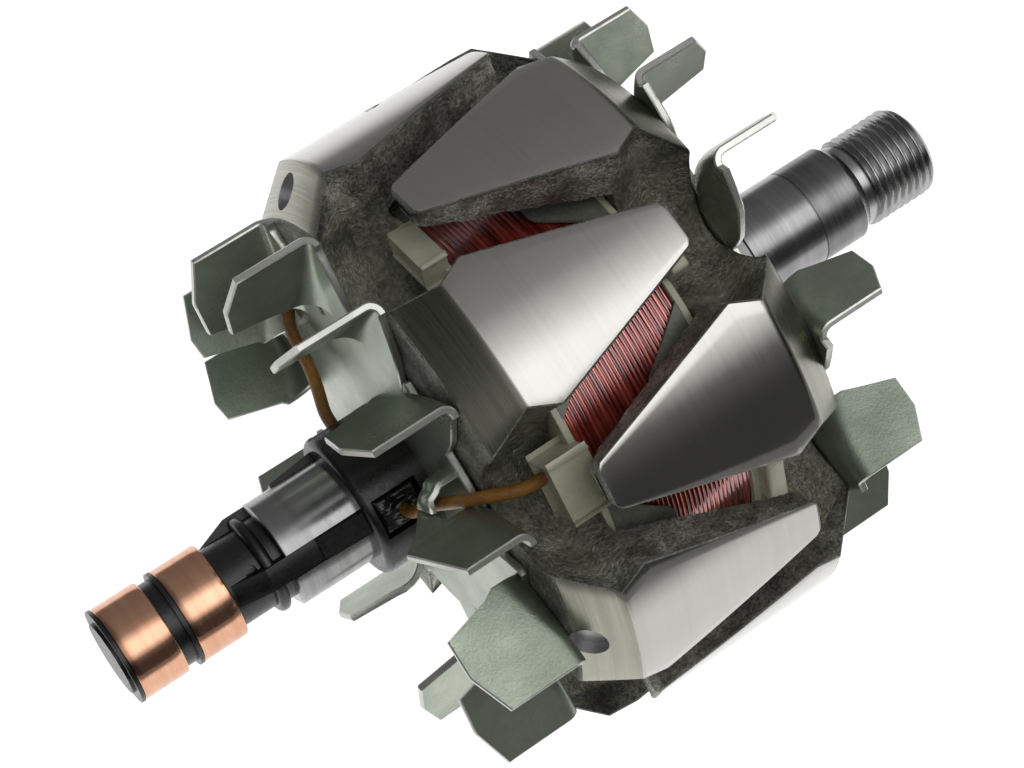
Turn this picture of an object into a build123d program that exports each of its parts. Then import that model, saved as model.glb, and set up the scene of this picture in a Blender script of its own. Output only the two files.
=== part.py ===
import os
from math import cos, pi, radians, sin, tan

from build123d import *

os.makedirs("parts", exist_ok=True)

# The shaft lies along X. X = 0 is the middle of the drive-end bearing seat,
# and claw_mid is the plane halfway between the two poles.
claw_mid = -44.3

# Two six-claw poles on a plain core, turned to one outer diameter.
claws = 6
claw_pitch = 360 / claws
rear_turn = 12.0
front_turn = rear_turn - claw_pitch / 2
claw_r = 51.7
core_half = 13.2
pole_thickness = 13.0
face_half = core_half + pole_thickness
shoulder = 6.95
core_r = 22.5

# One claw, as half widths where it meets the turned diameter.
shoulder_width = 15.0
band_width = 11.2
root_width = 13.5
tip_width = 4.2
tip_end_width = 2.8
root_length = 4.85
tip_reach = 15.2
tip_chamfer = 1.1
claw_draft = 10.0
root_depth = 11.1
tip_depth = 3.8
root_fillet = 1.5
foot_depth = 14.7

# The lobed plate that carries the claws.
lobe_width = 12.8
lobe_depth = 10.7
lobe_fillet = 4.5
valley_r = 31.0

# Balancing holes, each as a turn and a distance along the shoulder.
balance_r = 3.0
balance_depth = 2.4
balance_holes = ((rear_turn - claw_pitch - 2.0, 5.0), (rear_turn + claw_pitch + 1.0, 7.4))

# Shaft. Each reach is a distance from claw_mid towards the slip rings.
seat_r = 8.5
seat_length = 14.0
hub_r = 9.5
journal_r = 9.05
journal_reach = 52.6
journal_chamfer = 0.8
shank_r = 8.85
stub_r = 4.5
stub_reach = 79.5
pulley_seat_end = 15.5
relief_r = 7.4
relief_start = 17.0
thread_start = 18.6
thread_end = 31.1
thread_r = 8.0
thread_chamfer = 1.2
spacer_bore_r = 8.8
spacer_r = 12.2
spacer_chamfer = 0.6

# Pressed fans, each with blades as a turn and the radius of their outer corner.
sheet = 1.3
bend_r = 1.5
fold_arm = 5.0
hub_disc_r = 29.5
front_hub_disc_r = 33.0
rear_sweep = 30.0
front_sweep = 22.0
straight_sweep = 5.0
rear_blade = ((0, 0), (0, 13.9), (7.2, 16.4), (13.5, 16.1), (16.6, 3.9), (16.6, 0))
slim_blade = ((0, 0), (0, 13.9), (6.9, 16.4), (10.4, 16.0), (13.6, 3.9), (13.6, 0))
front_blade = ((0, 0), (0, 12.0), (5.2, 14.6), (10.5, 14.8), (13.5, 6.0), (13.5, 0))
straight_blade = ((0, 0), (0, 11.2), (14.1, 14.8), (17.6, 11.6), (24.0, 7.8), (17.2, 6.4), (16.6, 0))
rear_arm = ((7.0, -11.0), (9.0, -21.0), (-18.0, -21.0))
slim_arm = ((4.0, -9.0), (5.0, -18.0), (-18.0, -18.0))
front_arm = ((4.2, 0.0), (11.0, -4.5), (15.0, -10.5), (16.0, -19.0), (-9.0, -19.0))
rear_blades = (
    (-55.5, 46.0), (-30.0, 47.4), (-7.5, 47.4), (16.0, 46.0), (72.5, 49.0),
    (102.5, 47.3), (142.5, 44.0), (183.5, 44.0), (217.0, 46.0),
)
slim_blades = ((-108.0, 43.0), (-83.0, 44.5))
straight_blades = ((42.5, 47.0),)
front_blades = (
    (-66.7, 46.3), (-42.0, 47.5), (-19.0, 48.6), (4.0, 48.8), (40.7, 48.0), (77.6, 47.7),
    (113.0, 48.0), (141.0, 47.5), (172.0, 48.0), (196.0, 47.5), (226.0, 48.0), (260.0, 47.0),
)

# Winding and its moulded bobbin.
winding_half = 12.0
winding_turns = 20
ridge_depth = 0.5
bobbin_wall = 1.0
flange_gap = 1.4
winding_sink = 0.8
petal_gap = 0.1
petal_thickness = 0.7
petal_root_width = 13.0
petal_tip_width = 5.4
petal_tip = 2.0
tab_half = 16.4
tab_sink = 1.6
tab_rise = 3.0
tab_width = 4.6
post_half = 18.2
post_sink = 3.4
post_rise = 3.8
post_width = 4.6

# Slip rings and their moulded carrier.
ring_r = 8.1
ring_bore_r = 7.0
ring_length = 8.0
ring_chamfer = 0.3
outer_ring_reach = 80.8
inner_ring_reach = 70.1
end_flange = 0.6
end_boss_r = 6.2
end_boss = 0.5
ring_gap_r = 7.3
guard_r = 8.2
guard_length = 0.7
neck_r = 6.87
bulge_reach = 56.0
bulge_length = 2.0
bulge_r = 8.3
bulge_round = 0.9
waist_r = 7.2
collar_r = 12.3
collar_reach = 38.9
collar_round = 1.2
rail_turns = (43.0, -77.0)
rail_width = 3.8
rail_floor_r = 5.2
rail_r = 8.85
rail_reach = 61.6
ramp_reach = 47.0
ramp_foot_r = 9.4
ramp_r = 10.3
socket_depth = 1.2
socket_length = 3.2
socket_width = 2.0
socket_reach = 57.6
socket_turn = 29.0

# Copper strips from the rings to the leads.
strip_floor_r = 5.5
strip_thickness = 0.8
strip_width = 7.8
hook_reach = 33.0
hook_length = 1.2
hook_r = 11.4
pocket_turn = 1.5
pocket_width = 16.5
pocket_reach = 37.4
pocket_length = 8.0
pocket_floor_r = 9.7
bead_r = 12.1

# Leads: a bare wire in a woven sleeve, from the winding to the strip's hook. Heights are shares of
# the way out from the collar to the winding.
wire_r = 0.5
sleeve_r = 1.05
arc_share = 0.45
lead_sink = 1.7
lead_end_r = 14.4
lead_reaches = (winding_half, 21.4, 26.6, 30.0, 31.2, hook_reach)
lead_heights = (1.0, 1.0, 0.8745, 0.6494, 0.2597, 0.0)
lead_turns = ((40.5, 40.5, 38.4, 37.6, 40.6, 46.5), (-74.6, -74.6, -73.8, -73.0, -71.4, -73.5))
sleeve_reach = 18.6
sleeve_end_r = 11.9

root_inner_r = claw_r - root_depth
tip_inner_r = claw_r - tip_depth
claw_foot_r = claw_r - foot_depth
lobe_r = claw_r - lobe_depth
flange_r = root_inner_r - flange_gap
winding_r = flange_r - winding_sink
lead_r = flange_r - lead_sink

journal_end = claw_mid - journal_reach
stub_end = claw_mid - stub_reach
outer_ring_x = claw_mid - outer_ring_reach
inner_ring_x = claw_mid - inner_ring_reach
bulge_x = claw_mid - bulge_reach
collar_x = claw_mid - collar_reach
rail_start = claw_mid - rail_reach
ramp_start = claw_mid - ramp_reach
hook_x = claw_mid - hook_reach
pocket_start = claw_mid - pocket_reach
seat_start = -seat_length / 2
rear_face = claw_mid - face_half
front_face = claw_mid + face_half
front_fan_x = front_face + sheet
rear_fan_x = rear_face - sheet
overshoot = 1.0


def about_shaft(turn):
    """The half plane through the shaft axis, turned from the top towards -Y."""
    return Plane.XZ.rotated((turn, 0, 0))


def point_at(x, turn, radius):
    """A point by its place along the shaft, its turn and its radius."""
    return (x, -radius * sin(radians(turn)), radius * cos(radians(turn)))


def section(points, plane=Plane.XZ):
    """A closed face from (x, radius) points."""
    with BuildSketch(plane) as face:
        with BuildLine():
            Polyline(*points, close=True)
        make_face()
    return face.sketch


def band(start, end, inner, outer):
    """The (x, radius) corners of a plain ring."""
    return ((start, inner), (end, inner), (end, outer), (start, outer))


def sector(points, turn, half_angle):
    """A part of a ring: its section swept through an angle about the shaft."""
    with BuildPart() as piece:
        revolve(section(points, about_shaft(turn - half_angle)), axis=Axis.X, revolution_arc=2 * half_angle)
    return piece.part


def bar(points, turn, half_width):
    """A straight-sided bar: its side outline made thick to both sides of its turn."""
    with BuildPart() as piece:
        extrude(section(points, about_shaft(turn)), amount=half_width, both=True)
    return piece.part


def rail(turn, top_r, end):
    return bar(band(rail_start, end, rail_floor_r, top_r), turn, rail_width / 2)


# Shaft, with two milled grooves for the carrier's rails.
shaft_outline = (
    (stub_end, 0),
    (stub_end, stub_r),
    (journal_end, stub_r),
    (journal_end, journal_r - journal_chamfer),
    (journal_end + journal_chamfer / 2, journal_r),
    (ramp_start, journal_r),
    (ramp_start, shank_r),
    (rear_fan_x, shank_r),
    (rear_fan_x, hub_r),
    (front_fan_x, hub_r),
    (front_fan_x, spacer_bore_r),
    (seat_start, spacer_bore_r),
    (seat_start, seat_r),
    (pulley_seat_end, seat_r),
    (relief_start, relief_r),
    (thread_start, relief_r),
    (thread_start, thread_r),
    (thread_end - thread_chamfer, thread_r),
    (thread_end, thread_r - thread_chamfer),
    (thread_end, 0),
)
with BuildPart() as shaft:
    revolve(section(shaft_outline), axis=Axis.X)
    for turn in rail_turns:
        add(rail(turn, hub_r + overshoot, rear_fan_x), mode=Mode.SUBTRACT)

with BuildPart() as pole_core:
    revolve(section(band(claw_mid - core_half, claw_mid + core_half, hub_r, core_r)), axis=Axis.X)


def claw(side):
    """One tapered claw with its shoulder, above the shaft; side is -1 for the rear pole, 1 for the front."""

    def along(distance):
        return claw_mid + side * distance

    band_end = face_half - shoulder
    half_outline = (
        (along(face_half), shoulder_width),
        (along(band_end), band_width),
        (along(band_end - root_length), root_width),
        (along(tip_chamfer - tip_reach), tip_width),
        (along(-tip_reach), tip_end_width),
    )
    other_half = [(x, -y) for x, y in reversed(half_outline)]
    profile = (
        (along(face_half), claw_foot_r),
        (along(face_half), claw_r - shoulder),
        (along(band_end), claw_r),
        (along(-tip_reach), claw_r),
        (along(-tip_reach), tip_inner_r),
        (along(core_half), root_inner_r),
        (along(core_half), claw_foot_r),
    )
    with BuildPart() as piece:
        with BuildSketch(Plane.XY.offset(claw_foot_r)):
            with BuildLine():
                Polyline(*half_outline, *other_half, close=True)
            make_face()
            offset(amount=-(claw_r - claw_foot_r) * tan(radians(claw_draft)), kind=Kind.INTERSECTION)
        extrude(amount=claw_r - claw_foot_r, taper=-claw_draft)
        with BuildSketch(Plane.XZ) as turned:
            with BuildLine():
                Polyline(*profile, close=True)
            make_face()
            fillet(turned.vertices().sort_by_distance((along(core_half), root_inner_r))[0], root_fillet)
        revolve(axis=Axis.X, mode=Mode.INTERSECT)
    return piece.part


def pole(side, first_turn):
    """A lobed plate with six claws."""
    finger = claw(side)
    start = rear_face if side < 0 else claw_mid + core_half
    with BuildPart() as piece:
        with BuildSketch(Plane.YZ.offset(start)) as plate:
            with PolarLocations(0, claws, start_angle=90 + first_turn):
                Rectangle(lobe_r, 2 * lobe_width, align=(Align.MIN, Align.CENTER))
            rings_of_corners = plate.vertices().group_by(SortBy.DISTANCE)
            fillet(rings_of_corners[-1], lobe_fillet)
            fillet(plate.vertices().group_by(SortBy.DISTANCE)[0], valley_r - lobe_width / sin(pi / claws))
            Circle(hub_r, mode=Mode.SUBTRACT)
        extrude(amount=pole_thickness)
        for number in range(claws):
            add(finger.rotate(Axis.X, first_turn + number * claw_pitch))
    return piece.part


with BuildPart() as rear_claw_pole:
    add(pole(-1, rear_turn))
    for turn, distance in balance_holes:
        across = distance * cos(pi / 4)
        spot = point_at(rear_face + shoulder - across, turn, claw_r - across)
        outward = point_at(-1, turn, 1)
        with Locations(Plane(origin=spot, z_dir=outward)):
            Hole(balance_r, balance_depth)

with BuildPart() as front_claw_pole:
    add(pole(1, front_turn))


def blade(outline, sweep):
    """A blade folded up from its arm, its outer corner on the shaft's line, rising towards -X."""
    inward = Vector(0, sin(radians(sweep)), -cos(radians(sweep)))
    aside = Vector(0, -cos(radians(sweep)), -sin(radians(sweep)))
    outer_bend = bend_r + sheet
    length = max(u for u, _ in outline)
    height = max(w for _, w in outline)
    with BuildPart() as piece:
        with BuildSketch(Plane(origin=(0, 0, 0), x_dir=aside, z_dir=inward)):
            with BuildLine():
                Line((0, height), (0, outer_bend))
                RadiusArc((0, outer_bend), (outer_bend, 0), -outer_bend)
                Line((outer_bend, 0), (fold_arm, 0))
                Line((fold_arm, 0), (fold_arm, sheet))
                Line((fold_arm, sheet), (outer_bend, sheet))
                RadiusArc((outer_bend, sheet), (sheet, outer_bend), bend_r)
                Line((sheet, outer_bend), (sheet, height))
                Line((sheet, height), (0, height))
            make_face()
        extrude(amount=length)
        with BuildSketch(Plane(origin=(0, 0, 0), x_dir=inward, z_dir=-aside)):
            with BuildLine():
                Polyline(*outline, close=True)
            make_face()
        extrude(amount=2 * fold_arm, both=True, mode=Mode.INTERSECT)
    return piece.part


def arm_corners(outline, arm, sweep, radius):
    """The flat arm beside a fold: from the bend's foot out to its own edge and in to the hub disc."""
    fold = outline[-1][0]
    back = bend_r + sheet
    foot = (-back * cos(radians(sweep)), radius - back * sin(radians(sweep)))
    corners = [foot]
    for step, drop in arm:
        corners.append(point_at(0, step, radius + drop)[1:])
    corners.append((foot[0] + fold * sin(radians(sweep)), foot[1] - fold * cos(radians(sweep))))
    return corners


def fan(blade_sets, disc_r):
    """A pressed fan on the rear pole's side of X = 0, its flat underside at X = 0."""
    with BuildPart() as piece:
        with BuildSketch(Plane.YZ):
            Circle(disc_r)
            for outline, arm, sweep, places in blade_sets:
                for turn, radius in places:
                    with Locations(Location((0, 0, 0), (0, 0, turn))):
                        Polygon(*arm_corners(outline, arm, sweep, radius), align=None)
            Circle(hub_r, mode=Mode.SUBTRACT)
        extrude(amount=-sheet)
        for outline, arm, sweep, places in blade_sets:
            stamp = blade(outline, sweep)
            for turn, radius in places:
                add((Pos(0, 0, radius) * stamp).rotate(Axis.X, turn))
    return piece.part


rear_sets = (
    (rear_blade, rear_arm, rear_sweep, rear_blades),
    (slim_blade, slim_arm, rear_sweep, slim_blades),
    (straight_blade, rear_arm, straight_sweep, straight_blades),
)
with BuildPart() as rear_fan:
    add(Pos(rear_face, 0, 0) * fan(rear_sets, hub_disc_r))

front_sets = ((front_blade, front_arm, front_sweep, front_blades),)
with BuildPart() as front_fan:
    mirror(Pos(-front_face, 0, 0) * fan(front_sets, front_hub_disc_r), about=Plane.YZ)

with BuildPart() as drive_end_spacer:
    revolve(section(band(front_fan_x, seat_start, spacer_bore_r, spacer_r)), axis=Axis.X)
    rims = drive_end_spacer.edges().filter_by(GeomType.CIRCLE).sort_by(SortBy.RADIUS)
    chamfer(rims[-2:], spacer_chamfer)


# Slip ring carrier, its rails and its collar moulded in one.
ring_end = outer_ring_x + ring_length
inner_ring_end = inner_ring_x + ring_length
carrier_outline = (
    (outer_ring_x - end_flange - end_boss, 0),
    (outer_ring_x - end_flange - end_boss, end_boss_r),
    (outer_ring_x - end_flange, end_boss_r),
    (outer_ring_x - end_flange, guard_r),
    (outer_ring_x, guard_r),
    (outer_ring_x, ring_bore_r),
    (ring_end, ring_bore_r),
    (ring_end, ring_gap_r),
    (inner_ring_x - guard_length, ring_gap_r),
    (inner_ring_x - guard_length, guard_r),
    (inner_ring_x, guard_r),
    (inner_ring_x, ring_bore_r),
    (inner_ring_end, ring_bore_r),
    (inner_ring_end, neck_r),
    (bulge_x, neck_r),
    (bulge_x, bulge_r),
    (bulge_x + bulge_length, bulge_r),
    (bulge_x + bulge_length, waist_r),
    (journal_end, waist_r),
    (journal_end, stub_r),
    (stub_end, stub_r),
    (stub_end, 0),
)
# The rails' round tops run down to the neck beside the inner ring.
rail_top = ((rail_start, 0), (rail_start, neck_r), (bulge_x, rail_r), (rear_fan_x, rail_r), (rear_fan_x, 0))


def strip(turn, ring_x):
    """A copper strip along a rail, from the middle of its ring to its hook by the leads."""
    strip_top = strip_floor_r + strip_thickness
    ring_middle = ring_x + ring_length / 2
    outline = (
        (ring_middle - hook_length / 2, strip_floor_r),
        (hook_x + hook_length / 2, strip_floor_r),
        (hook_x + hook_length / 2, hook_r),
        (hook_x - hook_length / 2, hook_r),
        (hook_x - hook_length / 2, strip_top),
        (ring_middle + hook_length / 2, strip_top),
        (ring_middle + hook_length / 2, ring_bore_r),
        (ring_middle - hook_length / 2, ring_bore_r),
    )
    return sector(outline, turn, strip_width)


def pocket(turn, top_r):
    ring = band(pocket_start, pocket_start + pocket_length, pocket_floor_r, top_r)
    return sector(ring, turn + pocket_turn, pocket_width)


with BuildPart() as inner_ring_conductor:
    add(strip(rail_turns[0], inner_ring_x))

with BuildPart() as outer_ring_conductor:
    add(strip(rail_turns[1], outer_ring_x))

with BuildPart() as slip_ring_carrier:
    revolve(section(carrier_outline), axis=Axis.X)
    rims = slip_ring_carrier.edges().filter_by(GeomType.CIRCLE)
    bulge_rims = rims.sort_by_distance((bulge_x + bulge_length / 2, 0, bulge_r))[0:2]
    fillet(bulge_rims, bulge_round)
    with BuildSketch(Plane.XZ) as collar_section:
        with BuildLine():
            Polyline(*band(collar_x, rear_fan_x, shank_r, collar_r), close=True)
        make_face()
        fillet(collar_section.vertices().sort_by_distance((collar_x, collar_r))[0], collar_round)
    revolve(axis=Axis.X)
    for turn in rail_turns:
        with BuildPart(mode=Mode.PRIVATE) as sunk_rail:
            add(rail(turn, rail_r + overshoot, rear_fan_x))
            revolve(section(rail_top), axis=Axis.X, mode=Mode.INTERSECT)
        add(sunk_rail.part)
        ramp = ((ramp_start, rail_r - overshoot), (ramp_start, ramp_foot_r), (collar_x, ramp_r))
        ramp += ((collar_x + overshoot, ramp_r), (collar_x + overshoot, rail_r - overshoot))
        add(bar(ramp, turn, rail_width / 2))
        add(pocket(turn, collar_r + overshoot), mode=Mode.SUBTRACT)
    out = point_at(0, socket_turn, 1)
    mouth = point_at(claw_mid - socket_reach, socket_turn, neck_r)
    with BuildSketch(Plane(origin=mouth, x_dir=(0, -out[2], out[1]), z_dir=out)):
        SlotOverall(socket_length, socket_width)
    extrude(amount=-socket_depth, mode=Mode.SUBTRACT)
    add(inner_ring_conductor.part, mode=Mode.SUBTRACT)
    add(outer_ring_conductor.part, mode=Mode.SUBTRACT)


def slip_ring(start):
    outline = (
        (start, ring_bore_r),
        (start + ring_length, ring_bore_r),
        (start + ring_length, ring_r - ring_chamfer),
        (start + ring_length - ring_chamfer, ring_r),
        (start + ring_chamfer, ring_r),
        (start, ring_r - ring_chamfer),
    )
    with BuildPart() as piece:
        revolve(section(outline), axis=Axis.X)
    return piece.part


with BuildPart() as outer_slip_ring:
    add(slip_ring(outer_ring_x))

with BuildPart() as inner_slip_ring:
    add(slip_ring(inner_ring_x))

# Field winding: a solid ring whose outer face keeps the ridges of its last layer.
turn_length = 2 * winding_half / winding_turns
crests = [(claw_mid - winding_half, core_r + bobbin_wall), (claw_mid - winding_half, winding_r - ridge_depth)]
for number in range(winding_turns):
    left = claw_mid - winding_half + number * turn_length
    crests.append((left + turn_length / 2, winding_r))
    crests.append((left + turn_length, winding_r - ridge_depth))
crests.append((claw_mid + winding_half, core_r + bobbin_wall))
with BuildPart() as field_winding:
    revolve(section(crests), axis=Axis.X)


def petal(side, turn):
    """A leaf folded over the winding under a claw, narrower towards the claw's tip."""
    start = claw_mid + side * winding_half
    end = claw_mid + side * petal_tip
    inner = winding_r + petal_gap
    half_outline = ((start, petal_root_width), (end, petal_tip_width))
    other_half = [(x, -y) for x, y in reversed(half_outline)]
    with BuildPart() as piece:
        with BuildSketch(Plane.XY.offset(inner / 2)):
            with BuildLine():
                Polyline(*half_outline, *other_half, close=True)
            make_face()
        extrude(amount=inner)
        ring = band(min(start, end), max(start, end), inner, inner + petal_thickness)
        revolve(section(ring), axis=Axis.X, mode=Mode.INTERSECT)
    return piece.part.rotate(Axis.X, turn)


def claw_turns(first_turn):
    return [first_turn + number * claw_pitch for number in range(claws)]


with BuildPart() as coil_bobbin:
    tube = band(claw_mid - core_half, claw_mid + core_half, core_r, core_r + bobbin_wall)
    revolve(section(tube), axis=Axis.X)
    for side in (-1, 1):
        near, far = sorted((claw_mid + side * winding_half, claw_mid + side * core_half))
        revolve(section(band(near, far, core_r, flange_r)), axis=Axis.X)
    for turn in claw_turns(rear_turn):
        add(petal(-1, turn))
        tab = band(claw_mid + core_half, claw_mid + tab_half, flange_r - tab_sink, flange_r + tab_rise)
        add(bar(tab, turn, tab_width))
    for turn in claw_turns(front_turn):
        add(petal(1, turn))
        if min(abs((turn - rail_turn + 180) % 360 - 180) for rail_turn in rail_turns) > claw_pitch / 2:
            tab = band(claw_mid - tab_half, claw_mid - core_half, flange_r - tab_sink, flange_r + tab_rise)
            add(bar(tab, turn, tab_width))
    for turn in rail_turns:
        post = band(claw_mid - post_half, claw_mid - core_half, flange_r - post_sink, flange_r + post_rise)
        add(bar(post, turn, post_width))
    for turns in lead_turns:
        with Locations(Plane(origin=point_at(claw_mid - post_half, turns[0], lead_r), z_dir=(-1, 0, 0))):
            Hole(wire_r, post_half - winding_half)


def bend_radii(points):
    """The largest even arcs that the runs on both sides of each corner leave room for."""
    corners = [Vector(*point) for point in points]
    radii = []
    for before, corner, after in zip(corners, corners[1:], corners[2:]):
        half_turn = (corner - before).get_angle(after - corner) / 2
        shorter = min((corner - before).length, (after - corner).length)
        radii.append(arc_share * shorter / tan(radians(half_turn)))
    return radii


def tube(points, radii, outer):
    """A round cord along straight runs joined by arcs."""
    with BuildPart() as piece:
        with BuildLine() as route:
            FilletPolyline(*points, radius=radii)
        with BuildSketch(Plane(origin=route.line @ 0, z_dir=route.line % 0)):
            Circle(outer)
        sweep(path=route.line)
    return piece.part


leads = {}
for number, turns in enumerate(lead_turns, start=1):
    points = []
    for reach, height, turn in zip(lead_reaches, lead_heights, turns):
        points.append(point_at(claw_mid - reach, turn, lead_end_r + height * (lead_r - lead_end_r)))
    points.append(point_at(hook_x, turns[-1], hook_r))
    radii = bend_radii(points)
    print("lead", number, "bend radii", [round(radius, 1) for radius in radii])
    sleeve_points = list(points)
    sleeve_points[0] = point_at(claw_mid - sleeve_reach, turns[0], lead_r)
    sleeve_points[-1] = point_at(hook_x, turns[-1], sleeve_end_r)
    with BuildPart() as lead_wire:
        add(tube(points, radii, wire_r))
    with BuildPart() as lead_sleeve:
        add(tube(sleeve_points, radii, sleeve_r))
        add(lead_wire.part, mode=Mode.SUBTRACT)
    with BuildPart() as resin_bead:
        add(pocket(rail_turns[number - 1], bead_r))
        add(lead_wire.part, mode=Mode.SUBTRACT)
        add(lead_sleeve.part, mode=Mode.SUBTRACT)
        add((inner_ring_conductor if number == 1 else outer_ring_conductor).part, mode=Mode.SUBTRACT)
    leads[f"lead_wire_{number}"] = lead_wire
    leads[f"lead_sleeve_{number}"] = lead_sleeve
    leads[f"resin_bead_{number}"] = resin_bead

pieces = {
    "shaft": shaft,
    "pole_core": pole_core,
    "rear_claw_pole": rear_claw_pole,
    "front_claw_pole": front_claw_pole,
    "coil_bobbin": coil_bobbin,
    "field_winding": field_winding,
    "rear_fan": rear_fan,
    "front_fan": front_fan,
    "drive_end_spacer": drive_end_spacer,
    "slip_ring_carrier": slip_ring_carrier,
    "outer_slip_ring": outer_slip_ring,
    "inner_slip_ring": inner_slip_ring,
    "outer_ring_conductor": outer_ring_conductor,
    "inner_ring_conductor": inner_ring_conductor,
    **leads,
}
for name, piece in pieces.items():
    piece.part.label = name
    export_step(piece.part, f"parts/{name}.step")
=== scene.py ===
import math
import random

import bmesh
import bpy
from mathutils import Matrix, Vector, noise


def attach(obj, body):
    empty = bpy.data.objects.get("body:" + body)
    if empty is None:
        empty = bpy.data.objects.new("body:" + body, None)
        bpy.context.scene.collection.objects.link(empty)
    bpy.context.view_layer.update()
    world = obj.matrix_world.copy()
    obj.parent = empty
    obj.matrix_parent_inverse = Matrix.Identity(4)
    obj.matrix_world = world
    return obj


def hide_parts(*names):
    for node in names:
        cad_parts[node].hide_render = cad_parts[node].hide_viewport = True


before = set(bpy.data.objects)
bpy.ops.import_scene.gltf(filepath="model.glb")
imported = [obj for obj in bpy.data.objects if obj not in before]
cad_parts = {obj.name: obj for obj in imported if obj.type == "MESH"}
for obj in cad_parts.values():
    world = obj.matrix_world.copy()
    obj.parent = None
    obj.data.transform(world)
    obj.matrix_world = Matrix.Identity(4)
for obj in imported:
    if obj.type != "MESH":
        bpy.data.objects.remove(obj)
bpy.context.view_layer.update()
mm = 0.001
clawMid = -44.3  # middle of the claws, along the shaft from the drive-end bearing seat
claws = 6
clawPitch = 60.0
scene = bpy.context.scene
print("frame loaded")

# Camera, at the photograph's angle.
cameraPlace = {
    "position": (-164.28, -155.37, 385.44),
    "right": (0.81139, -0.5845, 0.00326),
    "down": (-0.52009, -0.72449, -0.45234),
    "lens": 94.68, "sensor": 36.0, "nearest": 10.0,
}


def makeCamera():
    c = cameraPlace
    right = Vector(c["right"]).normalized()
    up = -Vector(c["down"]).normalized()
    back = right.cross(up)
    data = bpy.data.cameras.new("photoCamera")
    data.lens = c["lens"]
    data.sensor_width = c["sensor"]
    data.clip_start = c["nearest"] * mm
    camera = bpy.data.objects.new("photoCamera", data)
    scene.collection.objects.link(camera)
    turn = Matrix((right, up, back)).transposed().to_4x4()
    camera.matrix_world = Matrix.Translation(Vector(c["position"]) * mm) @ turn
    scene.camera = camera


makeCamera()
print("camera set")


# Node helpers
def newMaterial(name):
    material = bpy.data.materials.new(name)
    material.use_nodes = True
    tree = material.node_tree
    tree.nodes.clear()
    output = tree.nodes.new("ShaderNodeOutputMaterial")
    shader = tree.nodes.new("ShaderNodeBsdfPrincipled")
    tree.links.new(shader.outputs[0], output.inputs[0])
    return material, tree, shader


def addNode(tree, kind, settings=None, **inputs):
    # An input goes by its socket's name, or by i and its number.
    node = tree.nodes.new(kind)
    for key, value in (settings or {}).items():
        setattr(node, key, value)
    for key, value in inputs.items():
        isNumber = key[0] == "i" and key[1:].isdigit()
        socket = node.inputs[int(key[1:]) if isNumber else key]
        if isinstance(value, bpy.types.NodeSocket):
            tree.links.new(value, socket)
        else:
            socket.default_value = value
    return node


def calc(tree, operation, *values):
    numbered = {"i" + str(place): value for place, value in enumerate(values)}
    return addNode(tree, "ShaderNodeMath", {"operation": operation}, **numbered).outputs[0]


def stretch(tree, place, scale):
    return addNode(tree, "ShaderNodeVectorMath", {"operation": "MULTIPLY"}, i0=place, i1=scale).outputs[0]


def remap(tree, value, fromLow, fromHigh, toLow, toHigh):
    node = addNode(tree, "ShaderNodeMapRange", Value=value, i1=fromLow, i2=fromHigh, i3=toLow, i4=toHigh)
    return node.outputs[0]


def ramp(tree, factor, stops):
    node = addNode(tree, "ShaderNodeValToRGB", Fac=factor)
    elements = node.color_ramp.elements
    while len(elements) < len(stops):
        elements.new(0.5)
    for element, (place, colour) in zip(elements, stops):
        element.position = place
        element.color = (*colour, 1)
    return node.outputs["Color"]


def noiseAt(tree, place, scale, detail, roughness=0.5, warp=0.0):
    values = {"Vector": place, "Scale": scale, "Detail": detail, "Roughness": roughness, "Distortion": warp}
    return addNode(tree, "ShaderNodeTexNoise", **values).outputs[0]


def grey(value):
    return (value, value, value)


def newGroup(name, inputs, outputs):
    group = bpy.data.node_groups.new(name, "ShaderNodeTree")
    for label, kind, default in inputs:
        socket = group.interface.new_socket(label, in_out="INPUT", socket_type=kind)
        socket.default_value = default
    for label, kind in outputs:
        group.interface.new_socket(label, in_out="OUTPUT", socket_type=kind)
    return group, group.nodes.new("NodeGroupInput").outputs, group.nodes.new("NodeGroupOutput").inputs


def useGroup(tree, group, **values):
    return addNode(tree, "ShaderNodeGroup", {"node_tree": group}, **values).outputs


# Shared effects. Places are in metres, so scales are per metre.
markSizes = {
    "lineDetail": 3.0, "lineRoughness": 0.7, "maskShare": 0.17, "maskDetail": 2.0,
    "patchDetail": 4.0, "patchRoughness": 0.6, "patchWarp": 0.15, "patchHeight": 1.6,
    "grainDetail": 4.0, "grainRoughness": 0.7, "low": 0.3, "high": 0.7,
}


def makeShaftCoordinates():
    # The place along the shaft, the turn about it and the distance from it.
    group, _, out = newGroup("shaftCoordinates", [], [("Vector", "NodeSocketVector")])
    place = addNode(group, "ShaderNodeTexCoord").outputs["Object"]
    split = addNode(group, "ShaderNodeSeparateXYZ", i0=place).outputs
    turn = calc(group, "ARCTAN2", split["Y"], split["Z"])
    squareY = calc(group, "MULTIPLY", split["Y"], split["Y"])
    radius = calc(group, "SQRT", calc(group, "MULTIPLY_ADD", split["Z"], split["Z"], squareY))
    joined = addNode(group, "ShaderNodeCombineXYZ", X=split["X"], Y=turn, Z=radius)
    group.links.new(joined.outputs[0], out[0])
    return group


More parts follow.
